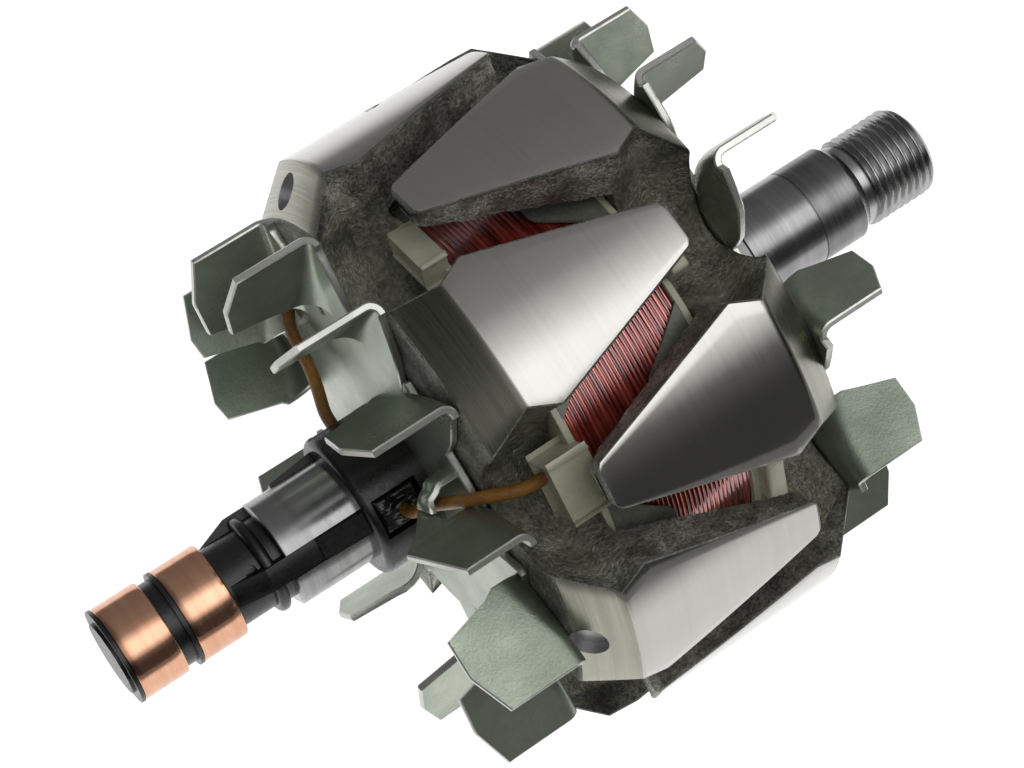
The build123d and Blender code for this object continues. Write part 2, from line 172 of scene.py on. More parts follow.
def makeTurnedLines():
    # Fine tool marks that run round the shaft: Along is their number per metre, Around per turn.
    m = markSizes
    group, given, out = newGroup(
        "turnedLines",
        [("Along", "NodeSocketFloat", 4000.0), ("Around", "NodeSocketFloat", 1.2),
         ("Radial", "NodeSocketFloat", 300.0)],
        [("Height", "NodeSocketFloat"), ("Mask", "NodeSocketFloat")],
    )
    place = useGroup(group, shaftCoordinates)[0]
    scale = addNode(group, "ShaderNodeCombineXYZ", X=given["Along"], Y=given["Around"], Z=given["Radial"])
    stretched = stretch(group, place, scale.outputs[0])
    broad = addNode(group, "ShaderNodeVectorMath", {"operation": "SCALE"}, i0=stretched, Scale=m["maskShare"])
    fine = noiseAt(group, stretched, 1.0, m["lineDetail"], m["lineRoughness"])
    mask = noiseAt(group, broad.outputs[0], 1.0, m["maskDetail"])
    group.links.new(fine, out["Height"])
    group.links.new(mask, out["Mask"])
    return group


def makeMottle():
    # Uneven tone and small pits of a forged, plated or moulded surface.
    m = markSizes
    group, given, out = newGroup(
        "mottle",
        [("Size", "NodeSocketFloat", 120.0), ("Pits", "NodeSocketFloat", 900.0)],
        [("Patches", "NodeSocketFloat"), ("Grain", "NodeSocketFloat"), ("Height", "NodeSocketFloat")],
    )
    place = addNode(group, "ShaderNodeTexCoord").outputs["Object"]
    patches = noiseAt(group, place, given["Size"], m["patchDetail"], m["patchRoughness"], m["patchWarp"])
    grain = noiseAt(group, place, given["Pits"], m["grainDetail"], m["grainRoughness"])
    height = calc(group, "ADD", calc(group, "MULTIPLY", patches, m["patchHeight"]), grain)
    group.links.new(patches, out["Patches"])
    group.links.new(grain, out["Grain"])
    group.links.new(height, out["Height"])
    return group


shaftCoordinates = makeShaftCoordinates()
turnedLines = makeTurnedLines()
mottle = makeMottle()


# Materials. The noises lie between low and high for the most part.
def dress(tree, shader, colour, metal, height, bump, depth):
    tree.links.new(colour, shader.inputs["Base Color"])
    shader.inputs["Metallic"].default_value = metal
    bumped = addNode(tree, "ShaderNodeBump", Strength=bump, Distance=depth, Height=height)
    tree.links.new(bumped.outputs[0], shader.inputs["Normal"])


def varyRoughness(tree, shader, value, atLow, atHigh):
    roughness = remap(tree, value, markSizes["low"], markSizes["high"], atLow, atHigh)
    tree.links.new(roughness, shader.inputs["Roughness"])


def steelMaterial(name, dark, light, rough, along, perTurn, radial, bump, depth, spread=0.08):
    # Turned or ground metal: lines round the shaft, and faint stains.
    material, tree, shader = newMaterial(name)
    lines = useGroup(tree, turnedLines, Along=along, Around=perTurn, Radial=radial)
    stains = useGroup(tree, mottle, Size=90.0, Pits=1200.0)
    tone = calc(tree, "MULTIPLY_ADD", lines["Mask"], 0.6, -0.05)
    tone = calc(tree, "MULTIPLY_ADD", stains["Patches"], 0.5, tone)
    dress(tree, shader, ramp(tree, tone, [(0.25, dark), (0.75, light)]), 1.0, lines["Height"], bump, depth)
    varyRoughness(tree, shader, lines["Height"], rough - spread, rough + spread)
    return material


def forgedMaterial(name, dark, mid, light, rough, pits, depth, lined, metal):
    # Scale and torn grain; lined turns part of the grain into marks that run round the shaft.
    material, tree, shader = newMaterial(name)
    marks = useGroup(tree, mottle, Size=150.0, Pits=pits)
    lines = useGroup(tree, turnedLines, Along=1500.0, Around=2.5, Radial=300.0)
    grain = addNode(
        tree, "ShaderNodeMix", {"data_type": "FLOAT"}, i0=lined, i2=marks["Grain"], i3=lines["Height"]
    ).outputs[0]
    tone = calc(tree, "MULTIPLY_ADD", grain, 0.5, calc(tree, "MULTIPLY", marks["Patches"], 0.5))
    relief = calc(tree, "MULTIPLY_ADD", grain, 1.2, marks["Height"])
    dress(tree, shader, ramp(tree, tone, [(0.4, dark), (0.52, mid), (0.66, light)]), metal, relief, 0.9, depth)
    varyRoughness(tree, shader, grain, rough + 0.14, rough - 0.1)
    return material


def fanMaterial(name, dark, mid, light, rough):
    # Zinc with a green passivation: broad clouds, a few fine flecks, smooth sheet.
    material, tree, shader = newMaterial(name)
    marks = useGroup(tree, mottle, Size=45.0, Pits=1900.0)
    tone = calc(tree, "MULTIPLY_ADD", marks["Grain"], 0.22, marks["Patches"])
    clouds = ramp(tree, tone, [(0.42, dark), (0.6, mid), (0.8, light)])
    dress(tree, shader, clouds, 0.8, marks["Height"], 0.25, 0.0002)
    varyRoughness(tree, shader, marks["Patches"], rough + 0.06, rough - 0.06)
    return material


def copperMaterial(name, dark, light, rough, along):
    return steelMaterial(name, dark, light, rough, along, 1.0, 200.0, 0.25, 0.00004)


def windingMaterial(name):
    # Each turn of wire has its own depth of red under clear, hard enamel.
    material, tree, shader = newMaterial(name)
    place = useGroup(tree, shaftCoordinates)[0]
    perTurn = noiseAt(tree, stretch(tree, place, (1300.0, 2.5, 0.0)), 1.0, 2.0)
    reds = [(0.34, (0.11, 0.006, 0.004)), (0.5, (0.33, 0.022, 0.013)), (0.64, (0.66, 0.10, 0.065))]
    grain = useGroup(tree, mottle, Size=300.0, Pits=2500.0)["Grain"]
    dress(tree, shader, ramp(tree, perTurn, reds), 0.55, grain, 0.15, 0.00008)
    for socket, value in (
        ("Roughness", 0.15), ("IOR", 2.4), ("Coat IOR", 1.9), ("Coat Weight", 1.0), ("Coat Roughness", 0.08),
    ):
        shader.inputs[socket].default_value = value
    return material


def plasticMaterial(name, dark, light, rough, pits, bump):
    material, tree, shader = newMaterial(name)
    marks = useGroup(tree, mottle, Size=130.0, Pits=pits)
    colour = ramp(tree, marks["Patches"], [(0.3, dark), (0.7, light)])
    dress(tree, shader, colour, 0.0, marks["Height"], bump, 0.0002)
    varyRoughness(tree, shader, marks["Grain"], rough - 0.08, rough + 0.1)
    return material


recipes = {
    "seatSteel": (steelMaterial, grey(0.2), grey(0.33), 0.21, 5200.0, 0.8, 200.0, 0.16, 0.00003, 0.06),
    "plainSteel": (steelMaterial, grey(0.13), grey(0.27), 0.3, 3800.0, 1.0, 200.0, 0.35, 0.00004),
    "threadSteel": (steelMaterial, grey(0.26), grey(0.46), 0.24, 2200.0, 3.0, 300.0, 0.2, 0.00003),
    "turnedIron": (
        steelMaterial, (0.415, 0.41, 0.385), (0.47, 0.46, 0.435),
        0.15, 5600.0, 2.4, 60.0, 0.035, 0.00002, 0.035),
    "shoulderIron": (
        steelMaterial, (0.27, 0.268, 0.225), (0.37, 0.365, 0.30), 0.3, 3400.0, 2.0, 2600.0, 0.25, 0.00003),
    # Inside the holes: bare drilled steel, lifted well above the turned iron as painted light against the
    # hole's own shade.
    "drilledIron": (steelMaterial, grey(0.4), grey(0.75), 0.42, 2400.0, 9.0, 900.0, 0.5, 0.00008),
    "edgeIron": (
        forgedMaterial, (0.13, 0.13, 0.115), (0.24, 0.24, 0.215), grey(0.42), 0.4, 2600.0, 0.0002, 0.0, 0.9),
    "forgedIron": (
        forgedMaterial, (0.07, 0.069, 0.058), (0.25, 0.246, 0.212), (0.8, 0.79, 0.7),
        0.33, 1900.0, 0.0006, 0.0, 0.55),
    "shearedIron": (
        forgedMaterial, (0.15, 0.15, 0.118), (0.33, 0.325, 0.265), (0.62, 0.61, 0.51),
        0.38, 1300.0, 0.0004, 0.2, 0.8),
    "fanZinc": (fanMaterial, (0.22, 0.255, 0.20), (0.31, 0.35, 0.285), (0.46, 0.49, 0.40), 0.3),
    # Rims: the bare sheared edge, plus a lift well above the zinc that is a painted highlight along every
    # edge.
    "fanEdge": (fanMaterial, (0.42, 0.43, 0.40), (0.56, 0.57, 0.53), (0.70, 0.70, 0.66), 0.3),
    "ringCopper": (copperMaterial, (0.60, 0.30, 0.185), (0.74, 0.43, 0.29), 0.14, 5200.0),
    "stripCopper": (copperMaterial, (0.5, 0.22, 0.13), (0.7, 0.38, 0.25), 0.35, 900.0),
    "windingEnamel": (windingMaterial,),
    "bobbinNylon": (plasticMaterial, (0.36, 0.365, 0.26), (0.50, 0.505, 0.385), 0.3, 1100.0, 0.15),
    # The petals are the same nylon as the bobbin but much darker: painted shade for where they lie under the
    # claws.
    "petalNylon": (plasticMaterial, (0.085, 0.088, 0.07), (0.17, 0.175, 0.145), 0.26, 1100.0, 0.15),
    "carrierBlack": (plasticMaterial, grey(0.004), grey(0.008), 0.3, 1500.0, 0.12),
    "beadResin": (plasticMaterial, grey(0.002), grey(0.006), 0.1, 700.0, 0.9),
    "sleeveAmber": (plasticMaterial, (0.10, 0.035, 0.003), (0.34, 0.15, 0.012), 0.3, 2400.0, 1.0),
}
materials = {name: make(name, *values) for name, (make, *values) in recipes.items()}
print("materials made")


# Mesh helpers. Points are in millimetres along and about the shaft, and a turn goes from +Z to -Y.
def around(x, turn, radius):
    return (x, -radius * math.sin(math.radians(turn)), radius * math.cos(math.radians(turn)))


def blend(stops, value):
    # Straight steps between (place, value) stops.
    stops = sorted(stops)
    if value <= stops[0][0]:
        return stops[0][1]
    for (a, first), (b, second) in zip(stops, stops[1:]):
        if value <= b:
            return first + (second - first) * (value - a) / (b - a)
    return stops[-1][1]


def steps(start, end, size):
    count = max(1, round(abs(end - start) / size))
    return [start + (end - start) * number / count for number in range(count + 1)]


def makePiece(name, points, faces, slots, picks=()):
    # picks gives each face the number of its material in slots.
    mesh = bpy.data.meshes.new(name)
    mesh.from_pydata([tuple(c * mm for c in point) for point in points], [], faces)
    for slotName in slots:
        mesh.materials.append(materials[slotName])
    for polygon, pick in zip(mesh.polygons, picks):
        polygon.material_index = pick
    for polygon in mesh.polygons:
        polygon.use_smooth = True
    mesh.update()
    piece = bpy.data.objects.new(name, mesh)
    scene.collection.objects.link(piece)
    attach(piece, "root")
    return piece


def sharpen(piece, angle):
    piece.data.set_sharp_from_angle(angle=math.radians(angle))


def applyModifiers(piece):
    graph = bpy.context.evaluated_depsgraph_get()
    finished = bpy.data.meshes.new_from_object(piece.evaluated_get(graph))
    old = piece.data
    piece.modifiers.clear()
    piece.data = finished
    bpy.data.meshes.remove(old)


def lathe(name, profile, segments, slots, pickAt=None, radiusAt=None):
    # profile is (x, radius) from one end to the other; radiusAt may change a radius by place and turn.
    points, faces, picks = [], [], []
    for x, radius in profile:
        for number in range(segments):
            turn = 360.0 * number / segments
            points.append(around(x, turn, radiusAt(x, turn, radius) if radiusAt else radius))
    for row in range(len(profile) - 1):
        middle = (profile[row][0] + profile[row + 1][0]) / 2
        for number in range(segments):
            a, b = row * segments + number, row * segments + (number + 1) % segments
            faces.append((a, b, b + segments, a + segments))
            picks.append(pickAt(middle) if pickAt else 0)
    last = (len(profile) - 1) * segments
    faces.append(tuple(reversed(range(segments))))
    faces.append(tuple(range(last, last + segments)))
    picks += [picks[0], picks[-1]]
    return makePiece(name, points, faces, slots, picks)


def addRing(profile, points, faces, picks, segments, edges=()):
    # A closed (x, radius) outline carried round the shaft. The sides in edges take the second material.
    base, count = len(points), len(profile)
    for number in range(segments):
        for x, radius in profile:
            points.append(around(x, 360.0 * number / segments, radius))
    for number in range(segments):
        here, there = base + number * count, base + (number + 1) % segments * count
        for index in range(count):
            after = (index + 1) % count
            faces.append((here + index, here + after, there + after, there + index))
            picks.append(1 if index in edges else 0)


def tidyNormals(piece):
    built = bmesh.new()
    built.from_mesh(piece.data)
    bmesh.ops.dissolve_degenerate(built, dist=0.001 * mm, edges=built.edges)
    bmesh.ops.recalc_face_normals(built, faces=built.faces)
    built.to_mesh(piece.data)
    built.free()


# Shaft
shaftSizes = {
    "stubR": 4.5, "stubEnd": -123.8, "journalR": 9.05, "journalEnd": -96.9, "journalFrom": -96.0,
    "chamfer": 0.8, "fanX": -71.8, "hubR": 9.5, "frontFanX": -16.8, "spacerR": 8.8,
    "seatStart": -7.0, "seatR": 8.5, "seatEnd": 7.0, "seatLine": 0.12, "pulleyR": 8.5, "pulleyEnd": 15.5,
    "reliefR": 7.4, "reliefStart": 17.0, "threadStart": 18.6, "threadEnd": 31.1, "threadR": 8.0, "pitch": 1.5,
    "threadDepth": 0.85, "threadStep": 0.125, "flank": 0.46, "runOut": 0.5,
    "endRounding": ((0.9, 0.3), (0.6, 0.6), (0.15, 1.05), (0.0, 1.3)), "endMiddle": 0.6,
    "railTurns": (43.0, -77.0), "railHalf": 1.9, "grooveR": 7.4, "segments": 180, "sharp": 28.0,
}


def makeShaft():
    s = shaftSizes
    journalEnd, journalR, chamfer = s["journalEnd"], s["journalR"], s["chamfer"]
    seatEnd, threadEnd = s["seatEnd"], s["threadEnd"]
    lineR = s["seatR"] - s["seatLine"]
    profile = [(s["stubEnd"], s["stubR"]), (journalEnd, s["stubR"]), (journalEnd, journalR - chamfer)]
    profile += [(journalEnd + chamfer / 2, journalR - 0.05), (journalEnd + chamfer * 0.65, journalR)]
    profile += [(x, journalR) for x in steps(s["journalFrom"], s["fanX"] - 0.3, 4.0)]
    profile += [(s["fanX"], journalR), (s["fanX"], s["hubR"]), (s["frontFanX"], s["hubR"])]
    profile += [(s["frontFanX"], s["spacerR"]), (s["seatStart"], s["spacerR"])]
    profile += [(x, s["seatR"]) for x in steps(s["seatStart"], seatEnd, 3.5)]
    profile += [(seatEnd + 0.05, lineR), (seatEnd + 0.3, lineR), (seatEnd + 0.35, s["pulleyR"])]
    profile += [(s["pulleyEnd"], s["pulleyR"]), (s["reliefStart"], s["reliefR"])]
    profile.append((s["threadStart"], s["reliefR"]))
    profile += [(x, s["threadR"]) for x in steps(s["threadStart"] + 0.1, threadEnd - 1.2, s["threadStep"])]
    profile += [(threadEnd - back, s["threadR"] - drop) for back, drop in s["endRounding"]]
    profile.append((threadEnd, s["endMiddle"]))

    def radiusAt(x, turn, radius):
        # The thread's helix, and the two grooves that the carrier's rails lie in.
        if s["threadStart"] < x < threadEnd - 0.2 and radius > s["reliefR"] - 0.6:
            phase = ((x - s["threadStart"]) / s["pitch"] + turn / 360.0) % 1.0
            valley = max(0.0, 1.0 - abs(phase - 0.5) / s["flank"])
            valley = valley * valley * (3.0 - 2.0 * valley)
            runOut = min(1.0, (x - s["threadStart"]) / s["runOut"])
            cutR = s["threadR"] - s["threadDepth"] * valley * runOut
            return max(s["reliefR"] - 0.35, min(radius, cutR))
        if journalEnd - 0.01 <= x < s["fanX"] and radius > s["grooveR"]:
            for rail in s["railTurns"]:
                off = (turn - rail + 180.0) % 360.0 - 180.0
                if abs(off) < math.degrees(math.asin(s["railHalf"] / radius)):
                    return s["grooveR"]
        return radius

    def pickAt(x):
        if seatEnd + 0.1 < x < s["pulleyEnd"]:
            return 1
        return 2 if x > s["reliefStart"] - 1.0 else 0

    slots = ["seatSteel", "plainSteel", "threadSteel"]
    piece = lathe("turnedShaft", profile, s["segments"], slots, pickAt, radiusAt)
    sharpen(piece, s["sharp"])
    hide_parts("shaft")


makeShaft()
print("shaft made")

# Claw poles. halfWidths and steps along a claw are measured from the claws' middle to its outer face.
poleSizes = {
    "clawR": 51.69, "face": 26.2, "faceEdge": 25.9, "core": 13.2, "shoulder": 6.95, "draft": 10.0,
    "rootInner": 40.6, "tipInner": 47.9, "tip": -15.2, "tipEdge": -15.0,
    "tipRounding": {-15.05: 0.15, -15.2: 0.45},
    "halfWidths": [(-15.2, 2.8), (-14.1, 4.2), (14.4, 13.5), (19.25, 11.2), (26.2, 15.0)],
    "valleyR": 31.0, "valleyPull": 3.2, "footPull": 4.6, "hubR": 9.6, "hubRings": (30.0, 20.0),
    "edge": 0.35, "rim": 0.4, "rimStep": 0.12, "along": 0.8,
    "valleySteps": 8, "wallSteps": 8, "topSteps": 5, "underSteps": 7, "shearedSteps": 12,
    "plateRuns": [(25.0, 19.25), (18.5, 14.4)], "plateLast": 13.8,
    "fingerRun": (12.6, -14.1), "fingerLast": -14.7,
    "turns": {"rear": 12.0, "front": -18.0}, "sharp": 50.0,
    "joinWithin": 0.004, "tooSmall": 0.002, "uncut": 0.05,
    "roughness": 0.24, "lumps": [(0.18, 1.1), (0.55, 0.7), (1.5, 0.6)], "lumpShift": 1.0,
    "balanceHoles": [(-50.0, 5.0), (73.0, 7.4)], "balanceR": 3.0, "balanceDepth": 2.4,
    "drill": [(0.0, -1.0), (0.5, -0.93), (0.97, -0.84), (1.0, -0.7)], "drillOut": 2.0, "drillSegments": 48,
    "marks": [(-47.3, -55.1, 1.3, 0.5)], "spatterUneven": (0.7, 0.6, 1.9),
    "spatter": [
        (-68.5, -33.0, 34.6, 1.9, 1.0), (-67.0, -37.0, 33.6, 1.4, 0.8), (-69.2, -28.5, 33.5, 1.2, 0.7),
        (-69.0, -40.0, 36.5, 1.3, 0.8), (-66.4, -30.5, 33.2, 1.0, 0.5), (-69.3, 36.0, 33.0, 1.3, 0.6),
        (-64.2, 47.0, 33.0, 1.6, 0.7), (-63.4, 52.0, 33.0, 1.5, 0.8), (-66.6, 50.5, 33.0, 1.4, 0.7),
        (-63.0, 58.0, 34.0, 1.3, 0.6),
    ],
}
poleSlots = ["turnedIron", "shoulderIron", "edgeIron", "forgedIron", "shearedIron", "drilledIron"]
turned, shoulder, edged, forged, sheared, drilled = range(len(poleSlots))


def clawOutline(s, innerR):
    # Half of a claw's section, from the inner end of its side wall to the middle of its top.
    p = poleSizes
    draft = math.tan(math.radians(p["draft"]))
    topR = p["clawR"] - max(0.0, s - (p["face"] - p["shoulder"]))
    width = blend(p["halfWidths"], s)

    def wall(z):
        return max(0.4, width - (p["clawR"] - z) * draft)

    cornerZ = topR
    for _ in range(6):  # closes in on where the wall meets the turned top
        cornerZ = math.sqrt(topR ** 2 - wall(cornerZ) ** 2)
    edge = p["edge"]
    outline = []
    for number in range(p["wallSteps"] + 1):
        z = innerR + (cornerZ - edge - innerR) * number / p["wallSteps"]
        outline.append((wall(z), z))
    startTurn = math.asin(wall(cornerZ) / topR) - edge / topR
    corner = (topR * math.sin(startTurn), topR * math.cos(startTurn))
    below = outline[-1]
    outline.append(((wall(cornerZ) * 2 + below[0] + corner[0]) / 4, (cornerZ * 2 + below[1] + corner[1]) / 4))
    for number in range(p["topSteps"] + 1):
        turn = startTurn * (1 - number / p["topSteps"])
        outline.append((topR * math.sin(turn), topR * math.cos(turn)))
    return outline


def valleyOutline(s):
    # From the middle of a valley to the foot of the claw's side wall.
    p = poleSizes
    draft = math.tan(math.radians(p["draft"]))
    foot = Vector(clawOutline(s, p["rootInner"])[0])
    half = math.radians(clawPitch / 2)
    bottom = Vector((p["valleyR"] * math.sin(half), p["valleyR"] * math.cos(half)))
    first = bottom + Vector((-math.cos(half), math.sin(half))) * p["valleyPull"]
    second = foot - Vector((draft, 1.0)) * p["footPull"]
    points = []
    for number in range(p["valleySteps"]):
        t = number / p["valleySteps"]
        points.append(tuple(
            bottom * (1 - t) ** 3 + first * 3 * t * (1 - t) ** 2 + second * 3 * t * t * (1 - t) + foot * t ** 3
        ))
    return points


def bothSides(half):
    # The whole outline from its half, with one point at the middle.
    return [(-y, z) for y, z in half] + [(y, z) for y, z in reversed(half[:-1])]


def makePole(name, side, node):
    p = poleSizes
    points, faces, picks = [], [], []
    face, core, wallSteps, topPoints = p["face"], p["core"], p["wallSteps"], p["topSteps"] + 1

    def place(s, y, z, number):
        turn = math.radians(p["turns"][name] + clawPitch * number)
        return (
            clawMid + side * s,
            -z * math.sin(turn) - y * math.cos(turn),
            z * math.cos(turn) - y * math.sin(turn),
        )

    def add(point):
        points.append(point)
        return len(points) - 1

    def skin(loop, nextLoop, kindAt=lambda index: forged):
        # Faces between two closed loops of points.
        for index in range(len(loop)):
            after = (index + 1) % len(loop)
            corners = (loop[index], loop[after], nextLoop[after], nextLoop[index])
            faces.append(corners if side > 0 else corners[::-1])
            picks.append(kindAt(index))

    def inward(loop, radii, s):
        # Rings of points under a loop, down to the shaft.
        rings = [loop]
        for radius in radii:
            ring = []
            for index in loop:
                _, y, z = points[index]
                scale = radius / math.hypot(y, z)
                ring.append(add((clawMid + side * s, y * scale, z * scale)))
            rings.append(ring)
        return rings

    # The plate with the roots of its claws
    discSteps = [face, face - p["rimStep"], face - p["rim"]]
    for run in p["plateRuns"]:
        discSteps += steps(*run, p["along"])
    discSteps += [p["plateLast"], core]
    insets = {face: p["rim"], face - p["rimStep"]: p["rimStep"]}
    rings = []
    for s in discSteps:
        whole = bothSides(valleyOutline(s) + clawOutline(s, p["rootInner"]))
        ring = []
        for number in range(claws):
            loop = []
            for y, z in whole:
                shrink = 1.0 - insets.get(s, 0.0) / math.hypot(y, z)
                loop.append(add(place(s, y * shrink, z * shrink, number)))
            ring.append(loop)
        rings.append(ring)
    halfCount = p["valleySteps"] + wallSteps + 2 + topPoints
    count = len(rings[0][0])
    flats = [[index for loop in ring for index in loop] for ring in rings]
    for s, nextS, flat, nextFlat in zip(discSteps, discSteps[1:], flats, flats[1:]):
        def plateKind(index):
            onLoop = index % count
            fromValley = min(onLoop, count - 2 - onLoop) if onLoop < count - 1 else 0
            kind = sheared if s < p["faceEdge"] and fromValley < p["shearedSteps"] else forged
            if fromValley >= halfCount - topPoints:
                kind = shoulder if (s + nextS) / 2 > face - p["shoulder"] else turned
            elif fromValley >= halfCount - topPoints - 2:
                kind = edged
            return edged if s > p["faceEdge"] and kind != forged else kind

        skin(flat, nextFlat, plateKind)

    # Outer face, down to the shaft
    outerRings = inward(flats[0], (*p["hubRings"], p["hubR"]), face)
    for previous, loop in zip(outerRings, outerRings[1:]):
        skin(loop, previous)

    # Claw fingers, each a closed tube that goes on from the plate's inner face
    underSteps = p["underSteps"]
    fingerSteps = steps(*p["fingerRun"], p["along"]) + [p["fingerLast"]] + list(p["tipRounding"])
    rootHalf = clawOutline(core, p["rootInner"])[0][0]
    innerLoop = []
    for number in range(claws):
        ring = rings[-1][number]
        under = []
        for step in range(1, underSteps):
            y = rootHalf * (1 - 2 * step / underSteps)
            under.append(add(place(core, y, p["rootInner"], number)))
        rootStart, rootEnd = p["valleySteps"], len(ring) - p["valleySteps"]
        innerLoop += ring[:rootStart + 1] + under[::-1] + ring[rootEnd - 1:]
        loop = ring[rootStart:rootEnd] + under
        for s in fingerSteps:
            innerR = blend([(p["tip"], p["tipInner"]), (core, p["rootInner"])], s)
            middleZ = (innerR + p["clawR"]) / 2
            half = clawOutline(s, innerR)
            shrink = p["tipRounding"].get(s, 0.0)
            top = bothSides(half)
            under = [(half[0][0] * (1 - 2 * step / underSteps), innerR) for step in range(1, underSteps)]
            nextLoop = []
            for y, z in top + under:
                y = math.copysign(max(0.0, abs(y) - shrink), y)
                z = z - shrink if z > middleZ else z + shrink
                nextLoop.append(add(place(s, y, z, number)))

            def fingerKind(index):
                fromWall = min(index, len(top) - 2 - index)
                if index >= len(top) - 1 or fromWall < wallSteps:
                    return forged
                return turned if fromWall >= wallSteps + 2 and s >= p["tipEdge"] else edged

            skin(loop, nextLoop, fingerKind)
            loop = nextLoop
        faces.append(tuple(reversed(loop)) if side > 0 else tuple(loop))
        picks.append(forged)

    # Inner face of the plate
    innerLoop, bore = inward(innerLoop, (p["hubR"],), core)
    skin(innerLoop, bore)
    piece = makePiece(node + "Forging", points, faces, poleSlots, picks)
    weld(piece)
    roughen(piece)
    if side < 0:
        drillHoles(piece)
    sharpen(piece, p["sharp"])
    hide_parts(node)


def weld(piece):
    # Joins what meets, closes the bore and gives the forged faces a finer mesh.
    p = poleSizes
    built = bmesh.new()
    built.from_mesh(piece.data)
    bmesh.ops.remove_doubles(built, verts=built.verts, dist=p["joinWithin"] * mm)
    bmesh.ops.dissolve_degenerate(built, dist=p["tooSmall"] * mm, edges=built.edges)
    rims = [edge for edge in built.edges if edge.is_boundary]
    bmesh.ops.bridge_loops(built, edges=rims)
    bmesh.ops.recalc_face_normals(built, faces=built.faces)
    reach = (p["face"] - p["uncut"]) * mm
    cuts = set()
    for face in built.faces:
        if face.material_index >= forged and abs(face.calc_center_median().x - clawMid * mm) < reach:
            cuts.update(face.edges)
    bmesh.ops.subdivide_edges(built, edges=list(cuts), cuts=1, use_grid_fill=True)
    built.to_mesh(piece.data)
    built.free()


def roughen(piece):
    # Only the forged faces move, and only inwards, but for the spatter.
    p = poleSizes
    mesh = piece.data
    mesh.update()
    normals = [vertex.normal.copy() for vertex in mesh.vertices]
    machined = set()
    for polygon in mesh.polygons:
        if polygon.material_index < forged:
            machined.update(polygon.vertices)
    for vertex, normal in zip(mesh.vertices, normals):
        if vertex.index in machined:
            continue
        spot = vertex.co / mm
        lump = sum(noise.noise(spot * scale) * height for scale, height in p["lumps"]) - p["lumpShift"]
        for x, turn, radius, size, height in p["spatter"]:
            off = (spot - Vector(around(x, turn, radius))).length / size
            if off < 1.0:
                level, swing, scale = p["spatterUneven"]
                uneven = level + swing * noise.noise(spot * scale)
                lump += height / p["roughness"] * (1.0 - off * off) * uneven
        vertex.co += normal * (lump * p["roughness"] * mm)


def drillHoles(piece):
    # Two balancing holes in the turned shoulders and one shallow mark on a claw.
    p = poleSizes
    spots = []
    for turn, distance in p["balanceHoles"]:
        drop = distance * math.cos(math.pi / 4)
        centre = Vector(around(clawMid - p["face"] + p["shoulder"] - drop, turn, p["clawR"] - drop))
        spots.append((centre, Vector(around(-1.0, turn, 1.0)).normalized(), p["balanceR"], p["balanceDepth"]))
    for x, turn, radius, depth in p["marks"]:
        spots.append((Vector(around(x, turn, p["clawR"])), Vector(around(0.0, turn, 1.0)), radius, depth))
    for centre, out, radius, depth in spots:
        cutHole(piece, centre, out, radius, depth)


def cutHole(piece, centre, out, radius, depth):
    p = poleSizes
    segments = p["drillSegments"]
    cutter = bmesh.new()
    toward = Matrix.Translation(centre) @ out.to_track_quat("Z", "Y").to_matrix().to_4x4()
    outline = [(radius * wide, depth * deep) for wide, deep in p["drill"]]
    outline += [(radius, p["drillOut"]), (0.0, p["drillOut"])]
    rings = []
    for r, z in outline:
        count = segments if r else 1
        turns = [2 * math.pi * n / count for n in range(count)]
        spots = [toward @ Vector((r * math.cos(turn), r * math.sin(turn), z)) for turn in turns]
        rings.append([cutter.verts.new(spot * mm) for spot in spots])
    for lower, upper in zip(rings, rings[1:]):
        for n in range(segments):
            m = (n + 1) % segments
            corners = [lower[n % len(lower)], lower[m % len(lower)]]
            corners += [upper[m % len(upper)], upper[n % len(upper)]]
            cutter.faces.new(list(dict.fromkeys(corners)))  # a ring of one point gives triangles
    for face in cutter.faces:
        # The inside of the hole takes the drilled iron, lightened with painted light.
        face.material_index = drilled
        face.smooth = True
    bmesh.ops.recalc_face_normals(cutter, faces=cutter.faces)
    mesh = bpy.data.meshes.new("drill")
    cutter.to_mesh(mesh)
    cutter.free()
    for slot in piece.material_slots:
        mesh.materials.append(slot.material)
    tool = bpy.data.objects.new("drill", mesh)
    scene.collection.objects.link(tool)
    cut = piece.modifiers.new("cut", "BOOLEAN")
    cut.operation, cut.solver, cut.object = "DIFFERENCE", "EXACT", tool
    applyModifiers(piece)
    bpy.data.objects.remove(tool)
    bpy.data.meshes.remove(mesh)


makePole("rear", -1, "rear_claw_pole")
makePole("front", 1, "front_claw_pole")
print("claw poles made")

# Field winding, as one wound surface of round turns
windingSizes = {
    "half": 12.0, "radius": 38.35, "inner": 23.5, "turns": 31, "perTurn": 8, "segments": 260,
    "wave": 0.12, "waviness": 1.6, "apart": 7.3,
}


def makeWinding():
    w = windingSizes
    pitch = 2 * w["half"] / w["turns"]

    def radiusAt(x, turn, radius):
        # A round wire, and each turn lies a little higher or lower along its way.
        if radius < w["radius"] - 1.0:
            return radius
        place = (x - clawMid + w["half"]) / pitch + turn / 360.0
        bulge = math.sqrt(max(0.0, 1.0 - (2 * (place % 1.0) - 1) ** 2)) * pitch * 0.5
        angle = math.radians(turn)
        spot = (int(place) * w["apart"], math.sin(angle) * w["waviness"], math.cos(angle) * w["waviness"])
        return w["radius"] - pitch * 0.5 - w["wave"] + bulge + noise.noise(Vector(spot)) * w["wave"]

    start, end = clawMid - w["half"], clawMid + w["half"]
    profile = [(start, w["inner"])]
    profile += [(x, w["radius"]) for x in steps(start, end, pitch / w["perTurn"])]
    profile.append((end, w["inner"]))
    piece = lathe("woundTurns", profile, w["segments"], ["windingEnamel"], radiusAt=radiusAt)
    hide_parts("field_winding")


makeWinding()
print("winding made")

